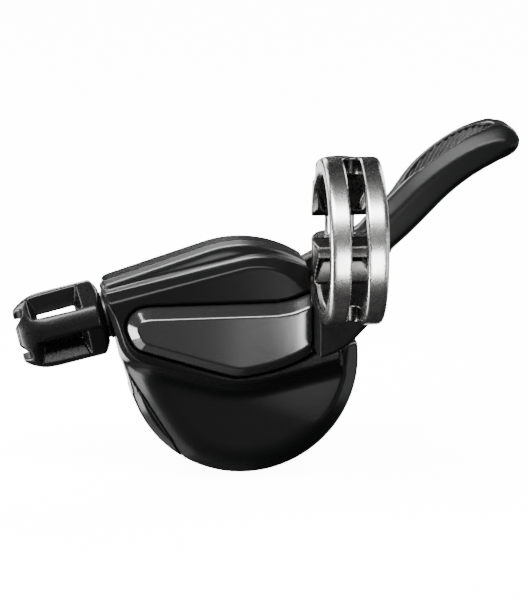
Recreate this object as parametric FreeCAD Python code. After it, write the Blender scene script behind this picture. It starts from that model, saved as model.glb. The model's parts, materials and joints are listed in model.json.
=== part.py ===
"""Left-hand thumb shifter for a 22.2 mm flat handlebar: a two-position front shifter with one
thumb lever, a fluted barrel adjuster and a slotted clamp band.

Frame, in millimetres: the origin is the centre of the bar clamp, +X runs along the handlebar towards
the grip, +Z is up, and -Y is the side of the cover. The clamp is drawn in that frame. Everything in
the body is drawn in the body's own frame, with the same directions, and moved by BODY_AT when it is
saved, which puts the whole body behind the handlebar. The lever, the axle and the drum turn about one
line parallel to Y, the hub axis. Angles round the hub are in degrees from +X towards +Z.
"""

import FreeCAD, Part
import math
import os

os.makedirs("parts", exist_ok=True)

V = FreeCAD.Vector

# ---- driving dimensions ----
BAR_R = 11.1                  # handlebar clamping radius
BAND_R = 14.0                 # outer radius of the clamp band
BAND_HALF = 4.9               # half of the band's width along the bar
BODY_AT = V(1.31, 11.5, -2.46)  # the body's frame in the bar's frame
HUB_X, HUB_Z = -17.3, -21.1   # hub axis
BODY_R = 19.6                 # outer radius of the round case
WALL = 1.4                    # case and cover wall
CABLE_Y = 9.0                 # depth of the cable's plane
CABLE_TILT = 13.2             # slope of the cable axis in the X-Z plane, degrees
NOSE = V(-39.7, CABLE_Y, -13.3)  # centre of the case's nose, on the cable axis
NOSE_HALF = 5.4               # half height of the nose's end face

# ---- depths of the layers, front to back ----
Y_FACE = -0.5                 # flat front of the cover's raised belt
Y_SHOULDER = 1.5              # foot of the belt's edge bevel
Y_SKIRT = 2.5                 # flat front of the cover's lower skirt
Y_RIM = 6.0                   # foot of the skirt's wide bevel
Y_SPLIT = 10.5                # joint between cover and case
Y_FLOOR = 15.2                # inner face of the case's floor
Y_CASE = 16.5                 # outer face of the case's floor
Y_BRACKET = 16.6
Y_BRACKET_BACK = 19.6
Y_LEVER = 20.4
Y_LEVER_BACK = 24.4
GAP = 0.15                    # assembly gap between separate shells

# ---- running gear ----
SUPPORT_Y = (4.6, 5.8)        # depths of each deck
DRUM_Y = (7.3, 11.0)
RATCHET_Y = (11.0, 12.5)
PAWL_Y = (11.2, 12.5)
DRIVE_PLATE_Y = (12.75, 13.9)
WASHER_Y = (25.0, 25.4)
AXLE_R = 3.0
SLEEVE_R = 4.6
RUN = 0.06                    # radial running clearance
DRUM_BASE_R = 8.4
DRUM_RIM_R = 13.4
RATCHET_LOW_R = 8.6
RATCHET_TOOTH_R = 10.5
RAMP_RISE = 1.8
POST_AT = ((160.0, 13.4), (256.0, 13.4), (345.0, 13.4))   # angle, radius of the three posts
POST_R = 1.5
DRIVE_PIN_AT = (235.0, 12.8)
HOLD_PIN_AT = (318.0, 13.2)
PIN_R = 0.9


# ---- helpers ----
def save(name, shape):
    """Writes one node, and stops if it is not made of valid closed solids."""
    if not shape.isValid() or not shape.Solids:
        raise RuntimeError(name + " is not a valid solid")
    solids = shape.Solids
    out = solids[0] if len(solids) == 1 else Part.makeCompound(solids)
    out.exportStep("parts/" + name + ".step")
    print(f"{name:22s} solids {len(solids)}  volume {sum(s.Volume for s in solids):9.2f} mm3")


def box(x0, x1, y0, y1, z0, z1):
    return Part.makeBox(x1 - x0, y1 - y0, z1 - z0, V(x0, y0, z0))


def to_bar(shape):
    """Moves a shape from the body's frame to the bar's frame."""
    shape = shape.copy()
    shape.translate(BODY_AT)
    return shape


def disc(radius, y0, y1, x=HUB_X, z=HUB_Z):
    """Cylinder along Y, on the hub axis unless placed elsewhere."""
    return Part.makeCylinder(radius, y1 - y0, V(x, y0, z), V(0, 1, 0))


def cone(r0, r1, y0, y1, x=HUB_X, z=HUB_Z):
    return Part.makeCone(r0, r1, y1 - y0, V(x, y0, z), V(0, 1, 0))


def polar(angle, radius):
    """Point (x, z) at an angle and radius round the hub."""
    a = math.radians(angle)
    return HUB_X + radius * math.cos(a), HUB_Z + radius * math.sin(a)


def outline(points, y):
    """Closed wire in the plane at depth y. A point is (x, z); an arc is ((xm, zm), (x, z)), through
    the middle point to the end point."""
    edges = []
    last = points[0]
    for item in points[1:] + [points[0]]:
        if isinstance(item[0], tuple):
            mid, end = item
            arc = Part.Arc(V(last[0], y, last[1]), V(mid[0], y, mid[1]), V(end[0], y, end[1]))
            edges.append(arc.toShape())
        else:
            end = item
            edges.append(Part.LineSegment(V(last[0], y, last[1]), V(end[0], y, end[1])).toShape())
        last = end
    return Part.Wire(edges)


def prism(wire, y1):
    """Solid between a planar wire at its own depth and depth y1."""
    y0 = wire.Vertexes[0].Y
    return Part.Face(wire).extrude(V(0, y1 - y0, 0))


def inset(wire, distance):
    """The wire moved inwards, or outwards where the distance is negative, with round corners."""
    return wire.makeOffset2D(-distance, 0)


def at_depth(wire, y):
    copy = wire.copy()
    copy.translate(V(0, y - wire.Vertexes[0].Y, 0))
    return copy


def taper(wire0, wire1):
    return Part.makeLoft([wire0, wire1], True, True)


def along_cable(shape):
    """Moves a shape made along local +X, from the origin outwards, onto the cable axis at the nose."""
    shape = shape.copy()
    shape.rotate(V(0, 0, 0), V(0, 1, 0), 180.0 - CABLE_TILT)
    shape.translate(NOSE)
    return shape


def tube_x(radius, x0, x1):
    return Part.makeCylinder(radius, x1 - x0, V(x0, 0, 0), V(1, 0, 0))


def hexagon_along(across_flats, start, axis, length):
    radius = across_flats / math.sqrt(3.0)
    side = V(0, 0, 1) if abs(axis.z) < 0.9 else V(1, 0, 0)
    u = axis.cross(side).normalize()
    w = axis.cross(u)
    corners = []
    for k in range(7):
        a = math.radians(60.0 * k)
        corners.append(start + u * (radius * math.cos(a)) + w * (radius * math.sin(a)))
    return Part.Face(Part.makePolygon(corners)).extrude(axis * length)


# ---- shared outlines ----
def nose_corners(back=0.0):
    """Top and bottom corner of the nose's end face, moved back along the cable axis."""
    a = math.radians(CABLE_TILT)
    ux, uz = math.cos(a), math.sin(a)
    cx, cz = NOSE.x + ux * back, NOSE.z + uz * back
    top = (cx - uz * NOSE_HALF, cz + ux * NOSE_HALF)
    bottom = (cx + uz * NOSE_HALF, cz - ux * NOSE_HALF)
    return top, bottom


def tangent_angle(point, upper):
    """Angle round the hub at which a line from an outside point touches the body circle."""
    dx, dz = point[0] - HUB_X, point[1] - HUB_Z
    away = math.degrees(math.atan2(dz, dx))
    half = math.degrees(math.acos(BODY_R / math.hypot(dx, dz)))
    return away - half if upper else away + half


def teardrop(y):
    """Outline of the case: the body circle, drawn out to the left into the nose."""
    top, bottom = nose_corners()
    a_top = tangent_angle(top, True)
    a_bottom = tangent_angle(bottom, False)
    if a_bottom < a_top:
        a_bottom += 360.0
    middle = (a_top + a_bottom - 360.0) / 2.0
    return outline([top, polar(a_top, BODY_R), (polar(middle, BODY_R), polar(a_bottom, BODY_R)), bottom], y)


BAND_POCKET_X = -6.7          # case and cover stay left of this, beside the band
LEG_POCKET_Z = -18.5          # and below this, under it


def band_pocket(margin=0.0):
    """Room beside and under the clamp band, for the band and the bracket's leg."""
    return box(BAND_POCKET_X - margin, 30, -20, 40, LEG_POCKET_Z - margin, 20)


CHORD_IN = (-38.4, -20.3)     # the cover's straight lower-left edge
CHORD_OUT = (-26.5, -39.3)


def beyond_chord(shift, y0, y1):
    """Half space outside the cover's straight lower-left edge, moved outwards by a shift."""
    dx, dz = CHORD_OUT[0] - CHORD_IN[0], CHORD_OUT[1] - CHORD_IN[1]
    length = math.hypot(dx, dz)
    ux, uz = dx / length, dz / length
    nx, nz = uz, -ux
    ax, az = CHORD_IN[0] + nx * shift, CHORD_IN[1] + nz * shift
    reach = 30.0
    corners = [
        (ax - ux * reach, az - uz * reach),
        (ax + ux * 2 * reach, az + uz * 2 * reach),
        (ax + ux * 2 * reach + nx * reach, az + uz * 2 * reach + nz * reach),
        (ax - ux * reach + nx * reach, az - uz * reach + nz * reach),
    ]
    return prism(outline(corners, y0), y1)


# ---- clamp ----
JAW_GAP = 3.7
BOLT_Y = 15.2
JAW_TOP = 7.5
JAW_BOTTOM = -9.0
BOLT_R = 2.5
HEAD_TALL = 3.5               # height of the clamp bolt's head
SHANK_LONG = 14.2             # length of the clamp bolt under its head
SLOT_HALF = 1.4
LEG_SCREW = (-1.5, -15.0)     # x, z of the screw that holds the band's foot
LEG_SPLIT = 12.0              # depth at which the band's foot meets the bracket's leg
LEG_BACK = Y_BRACKET_BACK + BODY_AT.y
FOOT_SCREW_R = 1.7
FOOT_HEAD_R = 3.0
FOOT_HEAD_DEEP = 2.5          # counterbore of the foot screw's head
LEG_TOP = -12.9               # the foot's rear part and the leg stay below this, under the handlebar


def leg_profile(y):
    """Cross section of the band's foot and of the bracket's leg."""
    right_side = [(4.0, -10.5), (3.6, -14.2), (1.3, -16.6), (-0.4, -18.2), (-2.4, -19.3)]
    return outline([(-5.2, -10.5)] + right_side + [(-5.2, -20.3)], y)


def band_blank():
    ring = Part.makeCylinder(BAND_R, 2 * BAND_HALF, V(-BAND_HALF, 0, 0), V(1, 0, 0))
    ring = ring.makeFillet(0.6, [e for e in ring.Edges if isinstance(e.Curve, Part.Circle)])
    jaws = Part.makeCylinder(4.3, JAW_TOP - JAW_BOTTOM, V(0, BOLT_Y, JAW_BOTTOM), V(0, 0, 1))
    jaws = jaws.fuse(box(-BAND_HALF + 0.5, BAND_HALF - 0.5, 9.0, BOLT_Y, JAW_BOTTOM, JAW_TOP))
    foot = prism(leg_profile(0.6), LEG_SPLIT).cut(box(-20, 20, 9.0, 30, LEG_TOP, 0))
    return ring.fuse([jaws, foot]).removeSplitter()


def band_slot():
    """Lightening slot through the front half of the ring, from the top round to the bottom."""
    ring = Part.makeCylinder(BAND_R + 1, 2 * SLOT_HALF, V(-SLOT_HALF, 0, 0), V(1, 0, 0))
    ring = ring.cut(Part.makeCylinder(BAR_R - 1, 2 * SLOT_HALF, V(-SLOT_HALF, 0, 0), V(1, 0, 0)))
    ring = ring.common(box(-5, 5, -20, -0.8, -20, 20))
    ends = []
    for z in (1.0, -1.0):
        ends.append(Part.makeCylinder(SLOT_HALF, 6.0, V(0, -0.8, z * 9.5), V(0, 0, z)))
    return ring.fuse(ends)


def clamp_band():
    band = band_blank()
    bore = Part.makeCylinder(BAR_R, 4 * BAND_HALF, V(-2 * BAND_HALF, 0, 0), V(1, 0, 0))
    band = band.cut([bore, band_slot(), box(-8, 8, 5, 25, -JAW_GAP / 2, JAW_GAP / 2)])
    for side in (-1.0, 1.0):
        flare = Part.makeCone(BAR_R + 0.7, BAR_R, 0.7, V(side * BAND_HALF, 0, 0), V(-side, 0, 0))
        band = band.cut(flare)
    bolt_hole = Part.makeCylinder(BOLT_R + 0.25, 8, V(0, BOLT_Y, JAW_GAP / 2 - 1), V(0, 0, 1))
    thread_hole = Part.makeCylinder(BOLT_R, 8.2, V(0, BOLT_Y, -JAW_GAP / 2 - 7.2), V(0, 0, 1))
    head_seat = Part.makeCylinder(4.3, 8, V(0, BOLT_Y, JAW_TOP), V(0, 0, 1))
    band = band.cut(head_seat)
    foot_hole = disc(FOOT_SCREW_R, 3.0, LEG_SPLIT + 1, *LEG_SCREW)
    return band.cut([bolt_hole, thread_hole, foot_hole])


def clamp_bolt():
    """M5 domed cap screw, 4 mm socket."""
    head = Part.makeCylinder(4.1, HEAD_TALL, V(0, BOLT_Y, JAW_TOP), V(0, 0, 1))
    rings = [e for e in head.Edges if isinstance(e.Curve, Part.Circle)]
    head = head.makeFillet(1.4, [e for e in rings if e.Curve.Center.z > JAW_TOP + HEAD_TALL / 2])
    shank = Part.makeCylinder(BOLT_R, SHANK_LONG, V(0, BOLT_Y, JAW_TOP - SHANK_LONG), V(0, 0, 1))
    socket = hexagon_along(4.0, V(0, BOLT_Y, JAW_TOP + 1.1), V(0, 0, 1), 4.0)
    return head.fuse(shank).cut(socket)


# ---- bracket ----
def leg():
    """Block that carries on the band's foot, back to the bracket plate."""
    block = prism(leg_profile(LEG_SPLIT + 0.02), LEG_BACK)
    return block.cut(box(-20, 20, 0, 60, LEG_TOP, 0))


def bracket():
    plate = disc(11.6, Y_BRACKET, Y_BRACKET_BACK)
    for angle, radius in POST_AT:
        around = ((20, 9.0), (11, radius), (-11, radius), (-20, 9.0))
        web = [polar(angle + turn, r) for turn, r in around]
        plate = plate.fuse([
            disc(3.0, Y_BRACKET, Y_BRACKET_BACK, *polar(angle, radius)),
            prism(outline(web, Y_BRACKET), Y_BRACKET_BACK),
        ])
    arm_corners = [(-14.0, -9.9), (-5.2, -11.0), (2.0, -11.4), (2.0, -12.4), (-2.6, -17.4), (-6.0, -24.0)]
    plate = plate.fuse(prism(outline(arm_corners, Y_BRACKET), Y_BRACKET_BACK))
    cuts = [disc(SLEEVE_R + RUN, 10, 30), disc(PIN_R, 10, 30, *polar(*HOLD_PIN_AT))]
    for angle, radius in POST_AT:
        x, z = polar(angle, radius)
        cuts.append(disc(1.3, 10, 30, x, z))
        cuts.append(disc(2.4, Y_BRACKET_BACK - 1.5, 30, x, z))
    body = to_bar(plate.cut(cuts)).fuse(leg()).removeSplitter()
    head_seat = LEG_BACK - FOOT_HEAD_DEEP
    clearance = disc(FOOT_SCREW_R + 0.05, 10, 40, *LEG_SCREW)
    return body.cut([clearance, disc(FOOT_HEAD_R + 0.1, head_seat, 40, *LEG_SCREW)])


def foot_screw():
    """Long M3.5 screw from behind the bracket, through the leg and into the band's foot."""
    x, z = LEG_SCREW
    head = disc(FOOT_HEAD_R, LEG_BACK - FOOT_HEAD_DEEP, LEG_BACK - 0.2, x, z)
    shank = disc(FOOT_SCREW_R, 3.5, LEG_BACK - FOOT_HEAD_DEEP, x, z)
    socket = hexagon_along(2.5, V(x, LEG_BACK - 1.7, z), V(0, 1, 0), 3.0)
    return head.fuse(shank).cut(socket)


# ---- shells ----
BELT_LOW = -24.5              # lowest point of the belt, under the name plate
BELT_RIGHT = -1.0             # right end of the belt, under the bracket's leg


def belt_wire(y, spread, crest, roof_left, roof_right):
    """Outline of the belt at one depth. The crest is the highest point of the roof, spread moves the
    lower edge down, and roof_left and roof_right are where the crest's arc meets its two straights."""
    top, bottom = nose_corners()
    tall = spread * 1.6 - 1.2
    start = (top[0] + 0.3 - 0.5 * tall, top[1] + tall)
    return outline(
        [
            start,
            roof_left,
            (crest, roof_right),
            (BELT_RIGHT, roof_right[1] - 0.62 * (BELT_RIGHT - roof_right[0])),
            (BELT_RIGHT, BELT_LOW + 4.2 - spread),
            (-18.5, BELT_LOW - spread),
            (-35.4, -19.6 - spread),
            (bottom[0] - 0.2, bottom[1] + 0.9 - spread),
        ],
        y,
    )


def belt():
    """Raised upper half of the cover, with its bevelled roof."""
    rear = belt_wire(Y_SPLIT, 0.8, (-17.3, -1.5), (-24.2, -2.75), (-10.4, -2.75))
    shoulder = belt_wire(Y_SHOULDER, 0.8, (-14.4, -2.5), (-19.6, -3.3), (-9.4, -3.7))
    face = belt_wire(Y_FACE, 0.0, (-15.0, -3.8), (-19.8, -4.55), (-10.8, -5.3))
    return taper(rear, shoulder).fuse(taper(shoulder, face))


PLATE_FACE_Y = -2.7


def plate_wire(y, spread=0.0):
    """Long wedge of the name plate: a blunt left end, a level top and a vee below."""
    right_end = [(-9.0, -13.9), (-7.6, -15.6), (-11.5, -17.6), (-18.9, -18.8)]
    core = outline([(-33.9, -14.3)] + right_end + [(-33.2, -14.6)], y)
    return core.makeOffset2D(2.0 + spread, 0)


def name_plate():
    shoulder = plate_wire(Y_FACE, 1.7)
    crown = taper(shoulder, plate_wire(PLATE_FACE_Y))
    seat = prism(at_depth(shoulder, Y_FACE), 0.85)
    plate = seat.fuse(crown)
    return plate.cut(box(BAND_POCKET_X - 0.4, 10, -10, 10, -40, 10))


def mechanism_room(y0, y1):
    """Inside of case and cover, clear of the band pocket."""
    room = prism(inset(teardrop(y0), WALL), y1)
    return room.cut(band_pocket(WALL))


def front_cover():
    skirt = teardrop(Y_RIM)
    body = prism(skirt, Y_SPLIT).fuse(taper(at_depth(inset(skirt, 3.1), Y_SKIRT), skirt))
    cover = body.cut(beyond_chord(0.0, -20, 40)).fuse(belt().cut(beyond_chord(0.0, -20, 40)))
    cover = cover.cut(band_pocket())
    deep = inset(teardrop(Y_RIM + WALL), WALL)
    slope = taper(at_depth(inset(teardrop(Y_RIM), WALL + 3.1), Y_SKIRT + WALL), deep)
    low_room = slope.fuse(prism(deep, Y_SPLIT + 1)).cut([band_pocket(WALL), beyond_chord(-WALL, -20, 40)])
    roof = belt_wire(Y_FACE + 3.0, 0.0, (-15.0, -4.0), (-19.8, -4.9), (-10.9, -5.6))
    high_room = prism(inset(roof, WALL), Y_SPLIT + 1).cut(band_pocket(WALL))
    recess = prism(plate_wire(-5.0, 2.1), 1.0)
    cable_hole = along_cable(tube_x(3.75, -9.0, 3.0).fuse(tube_x(4.3, 0.0, 3.0)))
    return cover.cut([low_room, high_room, recess, cable_hole]).removeSplitter()


SCREW_AT = ((-34.6, -10.3), (-11.7, -36.4))


def rear_case():
    shell = prism(teardrop(Y_SPLIT + GAP), Y_CASE)
    corner = prism(teardrop(Y_RIM + 0.3), Y_SPLIT + GAP).common(beyond_chord(GAP, -20, 40))
    shell = shell.fuse(corner).cut(band_pocket())
    room = mechanism_room(Y_SPLIT - 1, Y_FLOOR)
    cuts = [room, disc(SLEEVE_R + 1.0, 10, 30), along_cable(tube_x(3.75, -9.0, 3.0))]
    for angle, radius in POST_AT:
        cuts.append(disc(POST_R + 0.05, 10, 30, *polar(angle, radius)))
    cuts += [disc(0.8, 10, 30, x, z) for x, z in SCREW_AT]
    cuts.append(disc(PIN_R + 0.05, 10, 30, *polar(*HOLD_PIN_AT)))
    cuts.append(port_cut())
    return shell.cut(cuts).removeSplitter()


def cover_screws():
    """Two small screws from behind, one at the nose and one at the lower lip."""
    screws = []
    for x, z in SCREW_AT:
        head = disc(1.6, Y_CASE, Y_CASE + 1.0, x, z)
        socket = hexagon_along(1.5, V(x, Y_CASE + 0.4, z), V(0, 1, 0), 2.0)
        screws.append(head.fuse(disc(0.8, Y_FLOOR - 1.5, Y_CASE, x, z)).cut(socket))
    return Part.makeCompound(screws)


# ---- cable port in the right side of the case ----
PORT_ANGLE = -38.0


def port_place(shape):
    shape = shape.copy()
    shape.rotate(V(0, 0, 0), V(0, 1, 0), -PORT_ANGLE)
    shape.translate(V(HUB_X, 13.0, HUB_Z))
    return shape


def port_cut():
    return port_place(tube_x(2.0, BODY_R - 3.0, BODY_R + 3.0))


def cable_port_plug():
    body = tube_x(1.95, BODY_R - 1.6, BODY_R + 0.05)
    head = tube_x(2.6, BODY_R + 0.05, BODY_R + 0.7)
    slot = box(BODY_R + 0.2, BODY_R + 2, -3, 3, -0.35, 0.35)
    return port_place(head.fuse(body).cut(slot))


# ---- fixed running gear ----
def spoke(angle, radius):
    """Web of the support plate, from the middle out to one hole."""
    around = ((35, 4.0), (8, radius), (-8, radius), (-35, 4.0))
    return prism(outline([polar(angle + turn, r) for turn, r in around], SUPPORT_Y[0]), SUPPORT_Y[1])


def support_plate():
    plate = disc(5.2, *SUPPORT_Y)
    for angle, radius in POST_AT:
        x, z = polar(angle, radius)
        plate = plate.fuse([disc(2.0, *SUPPORT_Y, x, z), spoke(angle, radius)])
    hx, hz = polar(*HOLD_PIN_AT)
    plate = plate.fuse([disc(1.9, *SUPPORT_Y, hx, hz), spoke(*HOLD_PIN_AT)])
    cuts = [disc(2.2, 0, 10), disc(PIN_R, 0, 10, hx, hz)]
    for angle, radius in POST_AT:
        cuts.append(disc(1.1, 0, 10, *polar(angle, radius)))
    return plate.cut(cuts).removeSplitter()


def plate_posts():
    """Three spacer posts between support plate and bracket, with spigots at both ends."""
    posts = []
    for angle, radius in POST_AT:
        x, z = polar(angle, radius)
        post = disc(POST_R, SUPPORT_Y[1], Y_BRACKET, x, z).fuse([disc(1.1, *SUPPORT_Y, x, z)])
        posts.append(post.cut(disc(0.95, Y_BRACKET - 5.0, Y_BRACKET + 1, x, z)))
    return Part.makeCompound(posts)


def bracket_screws():
    screws = []
    for angle, radius in POST_AT:
        x, z = polar(angle, radius)
        head = disc(2.3, Y_BRACKET_BACK - 1.5, Y_BRACKET_BACK - 0.1, x, z)
        shank = disc(1.25, Y_BRACKET, Y_BRACKET_BACK - 1.5, x, z)
        shank = shank.fuse(disc(0.95, Y_BRACKET - 4.5, Y_BRACKET, x, z))
        socket = hexagon_along(2.0, V(x, Y_BRACKET_BACK - 1.0, z), V(0, 1, 0), 3.0)
        screws.append(head.fuse(shank).cut(socket))
    return Part.makeCompound(screws)


def main_axle():
    collar = SUPPORT_Y[1] + 1.2
    axle = disc(2.2, *SUPPORT_Y).fuse([
        disc(4.2, SUPPORT_Y[1], collar),
        disc(AXLE_R, collar, WASHER_Y[1]),
        disc(2.5, WASHER_Y[1], 28.2),
    ])
    flat = hexagon_along(2.5, V(HUB_X, 27.0, HUB_Z), V(0, 1, 0), 2.0)
    return axle.cut(flat)


def axle_washer():
    return disc(5.4, *WASHER_Y).cut(disc(AXLE_R, 24, 27))


def axle_nut():
    nut = hexagon_along(8.0, V(HUB_X, 25.45, HUB_Z), V(0, 1, 0), 2.2)
    bevel = cone(5.4, 4.0, 25.45, 27.9).fuse(disc(1, 24, 25.5))
    return nut.common(bevel).cut(disc(2.5, 24, 30))


def hold_pawl_pin():
    x, z = polar(*HOLD_PIN_AT)
    return disc(PIN_R, 4.7, 18.8, x, z)


# ---- drum and ratchet ----
SECTOR = (76.0, 137.0)        # span of the drum's cable rim


def sector(radius, a0, a1, y0, y1):
    middle = (a0 + a1) / 2.0
    points = [(HUB_X, HUB_Z), polar(a0, radius), (polar(middle, radius), polar(a1, radius))]
    return prism(outline(points, y0), y1)


def cable_drum():
    drum = disc(DRUM_BASE_R, *DRUM_Y).fuse(sector(DRUM_RIM_R, *SECTOR, *DRUM_Y))
    groove = disc(DRUM_RIM_R + 1, CABLE_Y - 0.75, CABLE_Y + 0.75).cut(disc(12.0, 0, 20))
    anchor_x, anchor_z = polar(82.0, 10.8)
    pocket = disc(1.2, CABLE_Y - 1.2, 12, anchor_x, anchor_z)
    holes = [disc(1.2, 0, 20, *polar(angle, 5.8)) for angle in (150, 210, 270, 330, 30, 90)]
    return drum.cut([groove, pocket, disc(AXLE_R + RUN, 0, 20)] + holes)


def ratchet_radius(angle):
    """Edge of the ratchet plate: a low land, then a ramp that lifts the holding pawl steadily."""
    ramp_from, ramp_to = 277.0, 307.0
    if 203.0 <= angle < ramp_from:
        return RATCHET_LOW_R
    if ramp_from <= angle <= ramp_to:
        return RATCHET_LOW_R + RAMP_RISE * (angle - ramp_from) / (ramp_to - ramp_from)
    return DRUM_BASE_R


def ratchet_plate():
    ramp = [polar(angle, ratchet_radius(angle)) for angle in range(277, 308, 3)]
    points = [polar(203.0, RATCHET_LOW_R), (polar(240.0, RATCHET_LOW_R), ramp[0])]
    points += ramp[1:]
    points += [polar(308.5, DRUM_BASE_R), (polar(45.0, DRUM_BASE_R), polar(150.0, DRUM_BASE_R))]
    points.append(polar(162.0, RATCHET_TOOTH_R))
    points.append((polar(181.0, RATCHET_TOOTH_R), polar(199.5, RATCHET_TOOTH_R)))
    plate = prism(outline(points, RATCHET_Y[0]), RATCHET_Y[1])
    return plate.cut(disc(AXLE_R + RUN, 0, 20))


def spiral(inner, outer, turns, start, y, height):
    """Flat spiral spring round the hub, wound outwards from a start angle."""
    half = 0.2
    steps = 30
    rails = []
    for side in (-half, half):
        points = []
        for k in range(steps + 1):
            share = k / steps
            x, z = polar(start + 360.0 * turns * share, inner + (outer - inner) * share + side)
            points.append(V(x, y, z))
        spline = Part.BSplineCurve()
        spline.interpolate(points)
        rails.append((spline.toShape(), points[0], points[-1]))
    (low, low_start, low_end), (high, high_start, high_end) = rails
    end = Part.LineSegment(low_end, high_end).toShape()
    begin = Part.LineSegment(low_start, high_start).toShape()
    return Part.Face(Part.Wire([low, end, high, begin])).extrude(V(0, height, 0))


def drum_spring():
    return spiral(4.7, 7.9, 2.4, 200.0, 6.2, 0.8)


# ---- pawls ----
def hold_pawl():
    x, z = polar(*HOLD_PIN_AT)
    points = [
        polar(275.2, 8.95),
        polar(277.6, 8.95),
        polar(281.5, 10.9),
        polar(292.0, 11.6),
        polar(308.0, 11.9),
        polar(316.5, 12.8),
        polar(320.0, 16.2),
        polar(300.0, 15.2),
        polar(284.0, 14.2),
        polar(275.0, 12.0),
    ]
    body = prism(outline(points, PAWL_Y[0]), PAWL_Y[1])
    boss = disc(2.0, *PAWL_Y, x, z)
    return body.fuse(boss).cut(disc(PIN_R + RUN, 0, 20, x, z)).removeSplitter()


def drive_pawl():
    x, z = polar(*DRIVE_PIN_AT)
    points = [
        polar(203.9, 8.95),
        polar(200.6, 11.1),
        polar(206.0, 12.6),
        polar(220.0, 14.2),
        polar(236.0, 14.6),
        polar(239.0, 11.6),
        polar(222.0, 10.0),
        polar(210.0, 9.0),
    ]
    body = prism(outline(points, PAWL_Y[0]), PAWL_Y[1])
    boss = disc(1.9, *PAWL_Y, x, z)
    return body.fuse(boss).cut(disc(PIN_R + RUN, 0, 20, x, z)).removeSplitter()


def coil(x, z, radius, wire, y0, turns, pitch):
    """Round-wire torsion spring along Y."""
    helix = Part.makeHelix(pitch, pitch * turns, radius)
    start = V(radius, 0, 0)
    section = Part.Wire([Part.makeCircle(wire, start, V(0, 1, pitch / (2 * math.pi * radius)))])
    spring = Part.Wire(helix).makePipeShell([section], True, True)
    spring.rotate(V(0, 0, 0), V(1, 0, 0), -90)
    spring.translate(V(x, y0, z))
    return spring


def hold_pawl_spring():
    x, z = polar(*HOLD_PIN_AT)
    return coil(x, z, 1.35, 0.2, 12.85, 3.5, 0.5)


def drive_pawl_spring():
    x, z = polar(*DRIVE_PIN_AT)
    return coil(x, z, 1.35, 0.2, 8.3, 3.5, 0.5)


# ---- lever group ----
def drive_plate():
    """Steel plate on the lever's sleeve, with the ear that carries the drive pawl."""
    ear_x, ear_z = polar(*DRIVE_PIN_AT)
    ear_angle = DRIVE_PIN_AT[0]
    plate = disc(8.0, *DRIVE_PLATE_Y).fuse(disc(2.6, *DRIVE_PLATE_Y, ear_x, ear_z))
    around = ((28, 7.5), (11, 12.8), (-11, 12.8), (-28, 7.5))
    web = outline([polar(ear_angle + turn, r) for turn, r in around], DRIVE_PLATE_Y[0])
    plate = plate.fuse(prism(web, DRIVE_PLATE_Y[1]))
    return plate.cut([disc(SLEEVE_R, 0, 30), disc(PIN_R, 0, 30, ear_x, ear_z)]).removeSplitter()


def drive_sleeve():
    sleeve = disc(SLEEVE_R, 12.7, 24.9)
    return sleeve.cut(disc(AXLE_R + RUN, 0, 30))


def drive_pawl_pin():
    x, z = polar(*DRIVE_PIN_AT)
    return disc(PIN_R, 7.6, 13.9, x, z).fuse(disc(1.5, 7.4, 7.9, x, z))


LEVER_TOP = ((4.6, -1.8), (8.9, 1.9), (13.1, 6.0), (16.7, 9.0), (20.4, 11.5), (24.0, 13.3), (27.4, 14.3))
LEVER_TIP = ((30.6, 13.9), (31.9, 11.8), (30.6, 10.3))
LEVER_UNDER = ((25.8, 8.4), (22.2, 6.4), (18.6, 3.4), (13.2, -2.0), (9.0, -5.8))
PAD_BACK_Y = 33.0


def curve(points, y):
    spline = Part.BSplineCurve()
    spline.interpolate([V(x, y, z) for x, z in points])
    return spline.toShape()


def lever_arm():
    """Flat arm from the hub out to the tip."""
    y = Y_LEVER
    edges = [
        Part.LineSegment(V(-15.0, y, -12.2), V(4.6, y, -1.8)).toShape(),
        curve(LEVER_TOP + LEVER_TIP + LEVER_UNDER, y),
        Part.LineSegment(V(9.0, y, -5.8), V(-8.6, y, -25.0)).toShape(),
        Part.LineSegment(V(-8.6, y, -25.0), V(-15.0, y, -12.2)).toShape(),
    ]
    return Part.Face(Part.Wire(edges)).extrude(V(0, Y_LEVER_BACK - Y_LEVER, 0))


PADDLE_THICK = 2.6


def blade(y0, y1, sink, thick):
    """Curved strip under the lever's top line, sunk below it and as thick as asked."""
    top = [(x + 0.68 * sink, z - 0.73 * sink) for x, z in LEVER_TOP[1:]]
    low = [(x + 0.68 * (sink + thick), z - 0.73 * (sink + thick)) for x, z in reversed(LEVER_TOP[1:])]
    edges = [
        curve(top, y0),
        Part.LineSegment(V(top[-1][0], y0, top[-1][1]), V(low[0][0], y0, low[0][1])).toShape(),
        curve(low, y0),
        Part.LineSegment(V(low[-1][0], y0, low[-1][1]), V(top[0][0], y0, top[0][1])).toShape(),
    ]
    return Part.Face(Part.Wire(edges)).extrude(V(0, y1 - y0, 0))


def paddle_blank():
    """The blade with its rounded bulb at the tip."""
    bulb = disc(2.2, Y_LEVER, PAD_BACK_Y, 29.3, 12.0)
    return blade(Y_LEVER, PAD_BACK_Y, 0.0, PADDLE_THICK).fuse(bulb)


def paddle_plan(margin):
    """Plan of the paddle, seen along the thumb's push: narrow at the neck, round at the tip."""
    corners = [
        V(6.0, Y_LEVER + margin, 0),
        V(33.0, Y_LEVER + margin, 0),
        V(33.0, 27.0, 0),
        V(29.5, PAD_BACK_Y - 1.6 - margin, 0),
        V(24.0, PAD_BACK_Y - margin, 0),
        V(15.0, PAD_BACK_Y - 0.6 - margin, 0),
        V(10.5, PAD_BACK_Y - 4.2 - margin, 0),
        V(6.0, 24.0 - margin, 0),
    ]
    shape = Part.Face(Part.makePolygon(corners + [corners[0]])).extrude(V(0, 0, 60))
    shape.translate(V(0, 0, -25))
    return shape


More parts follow.
